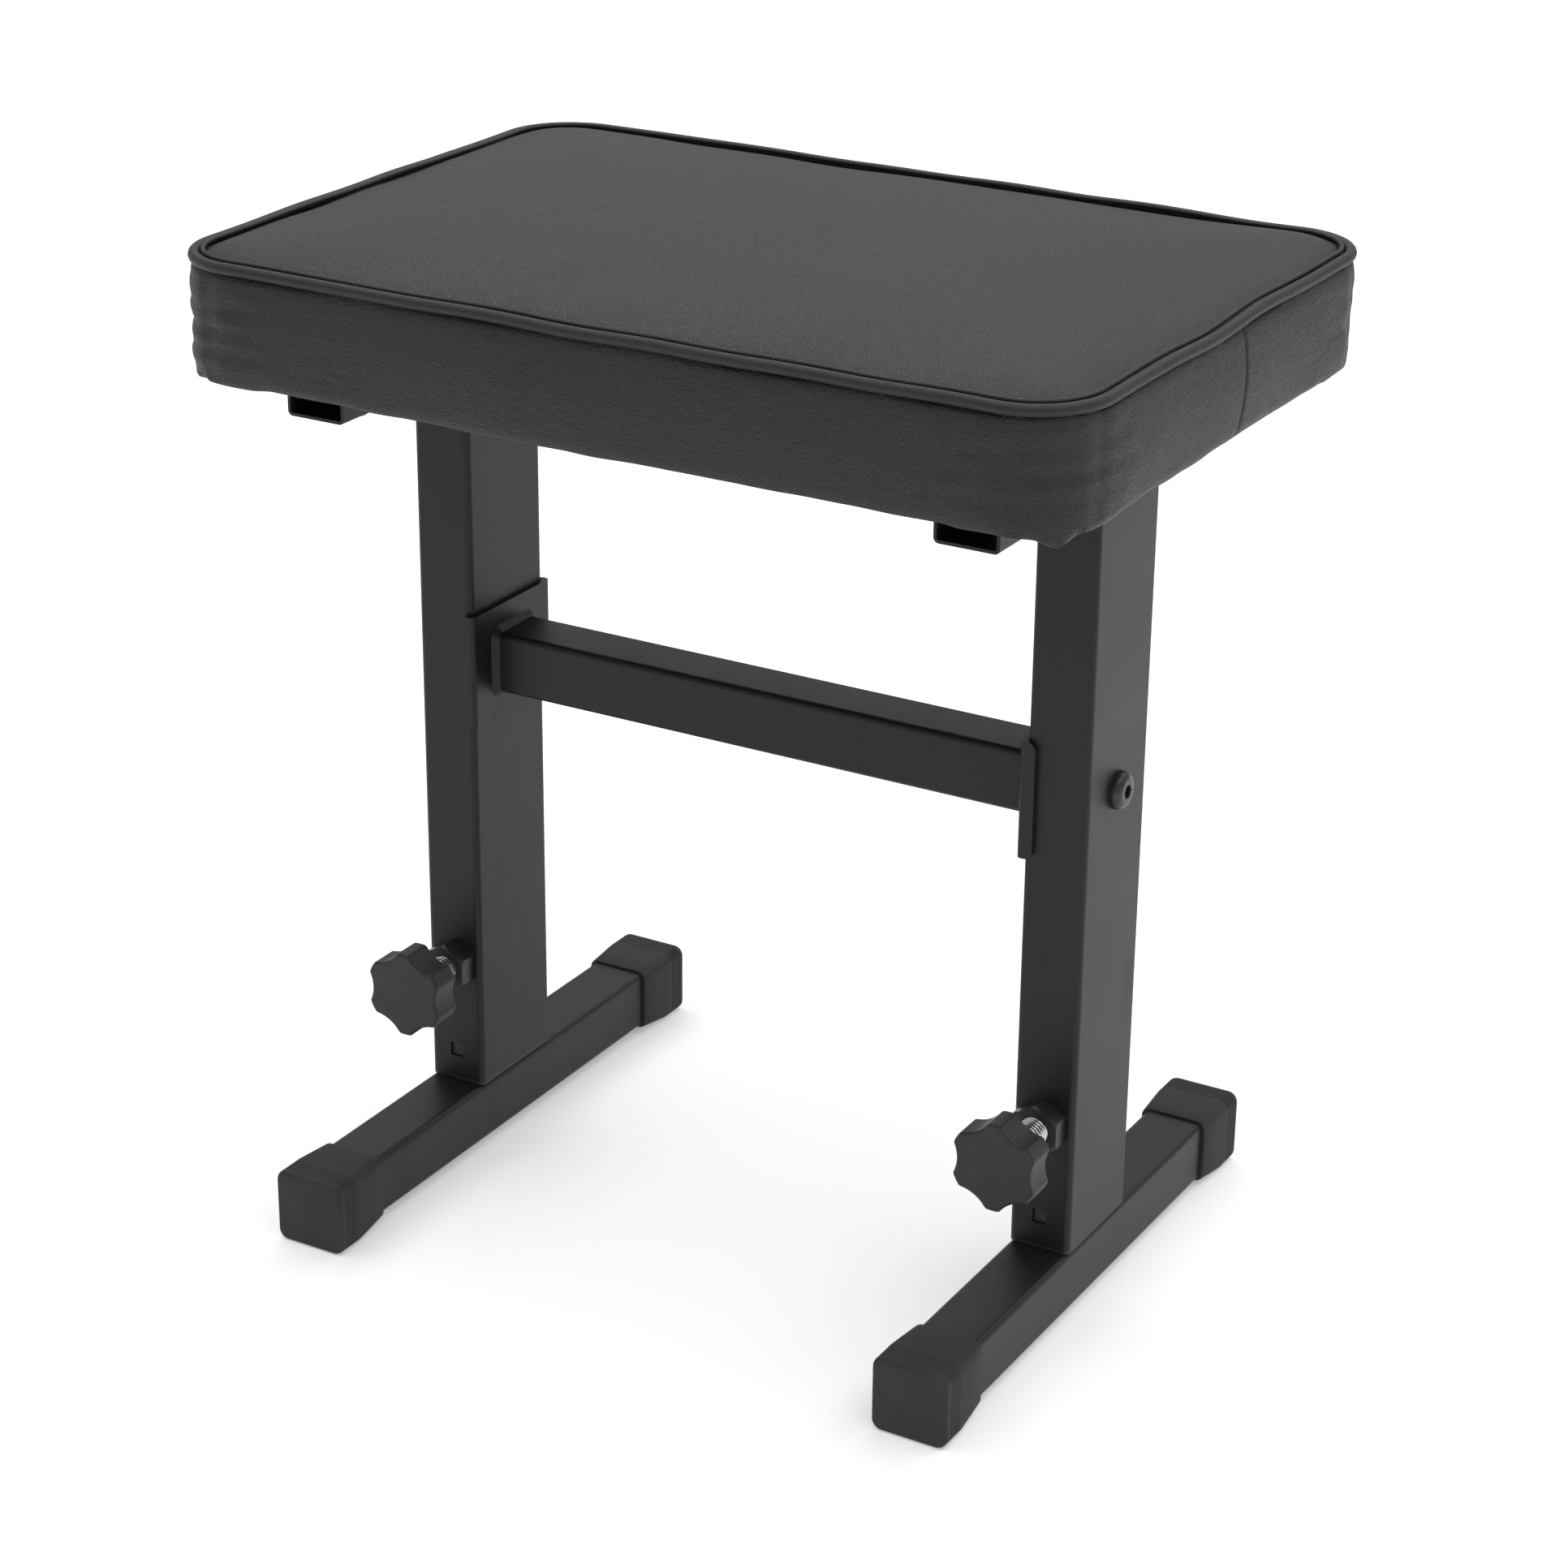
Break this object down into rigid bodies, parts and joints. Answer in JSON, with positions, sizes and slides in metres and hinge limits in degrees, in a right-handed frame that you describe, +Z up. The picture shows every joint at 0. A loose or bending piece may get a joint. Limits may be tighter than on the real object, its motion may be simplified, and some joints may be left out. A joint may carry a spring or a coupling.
{
  "type": "keyboard bench",
  "caption": "Height-adjustable keyboard bench: padded seat on sliding rectangular posts, with a crossbar, foot tubes, rubber caps and hand screws.",
  "frame": {"origin": "on the floor, under the middle of the seat", "axes": "+Z up, X along the seat from the left post to the right post, -Y towards the hand screws at the front"},
  "size_m": [0.442, 0.311, 0.4788],
  "materials": {
    "black_steel": "satin black powder coat",
    "black_bolts": "black oxide",
    "zinc_steel": "bright zinc plate",
    "cap_rubber": "matt moulded rubber",
    "knob_plastic": "satin moulded plastic",
    "guide_plastic": "moulded nylon",
    "leatherette": "fine-grained black leatherette",
    "seat_foam": "cut foam",
    "plywood": "raw plywood",
    "dust_cloth": "non-woven cloth"
  },
  "bodies": {
    "left_leg": {"left_foot_tube": "black_steel", "left_inner_post": "black_steel", "left_top_guide": "guide_plastic", "left_front_cap": "cap_rubber", "left_rear_cap": "cap_rubber"},
    "right_leg": {"right_foot_tube": "black_steel", "right_inner_post": "black_steel", "right_top_guide": "guide_plastic", "right_front_cap": "cap_rubber", "right_rear_cap": "cap_rubber"},
    "left_index_screw": {"left_index_screw": "zinc_steel"},
    "right_index_screw": {"right_index_screw": "zinc_steel"},
    "left_knob": {"left_knob": "knob_plastic"},
    "right_knob": {"right_knob": "knob_plastic"},
    "seat_frame": {"cover_staples": "zinc_steel", "crossbar": "black_steel", "dust_cover": "dust_cloth", "left_bottom_bush": "guide_plastic", "left_bracket": "black_steel", "left_cross_bolt": "black_bolts", "left_crossbar_insert": "zinc_steel", "left_crossbar_weld": "black_steel", "left_outer_post": "black_steel", "left_rail": "black_steel", "left_rail_weld": "black_steel", "left_seat_screws": "zinc_steel", "left_seat_washers": "zinc_steel", "left_tee_nuts": "zinc_steel", "left_weld_nut": "black_steel", "right_bottom_bush": "guide_plastic", "right_bracket": "black_steel", "right_cross_bolt": "black_bolts", "right_crossbar_insert": "zinc_steel", "right_crossbar_weld": "black_steel", "right_outer_post": "black_steel", "right_rail": "black_steel", "right_rail_weld": "black_steel", "right_seat_screws": "zinc_steel", "right_seat_washers": "zinc_steel", "right_tee_nuts": "zinc_steel", "right_weld_nut": "black_steel", "seat_board": "plywood", "seat_cover_band": "leatherette", "seat_cover_top": "leatherette", "seat_foam": "seat_foam", "seat_piping": "leatherette"}
  },
  "joints": [
    {"name": "seat_lift", "type": "slide", "parent": "left_leg", "child": "seat_frame", "axis": [0, 0, 1], "range_m": [0, 0.12]},
    {"name": "right_leg_slide", "type": "slide", "parent": "seat_frame", "child": "right_leg", "axis": [0, 0, -1], "range_m": [0, 0.12]},
    {"name": "left_screw_feed", "type": "slide", "parent": "seat_frame", "child": "left_index_screw", "axis": [0, 1, 0], "range_m": [0, 0.004]},
    {"name": "left_knob_turn", "type": "hinge", "parent": "left_index_screw", "child": "left_knob", "pos_m": [-0.16, -0.06, 0.0984], "axis": [0, 1, 0], "range_deg": [0, 720]},
    {"name": "right_screw_feed", "type": "slide", "parent": "seat_frame", "child": "right_index_screw", "axis": [0, 1, 0], "range_m": [0, 0.0105]},
    {"name": "right_knob_turn", "type": "hinge", "parent": "right_index_screw", "child": "right_knob", "pos_m": [0.16, -0.06, 0.0984], "axis": [0, 1, 0], "range_deg": [0, 1890]}
  ],
  "couplings": [
    {"joint": "right_leg_slide", "follows": "seat_lift", "ratio": 1},
    {"joint": "left_knob_turn", "follows": "left_screw_feed", "rad_per_m": 3141.6},
    {"joint": "right_knob_turn", "follows": "right_screw_feed", "rad_per_m": 3141.6}
  ]
}
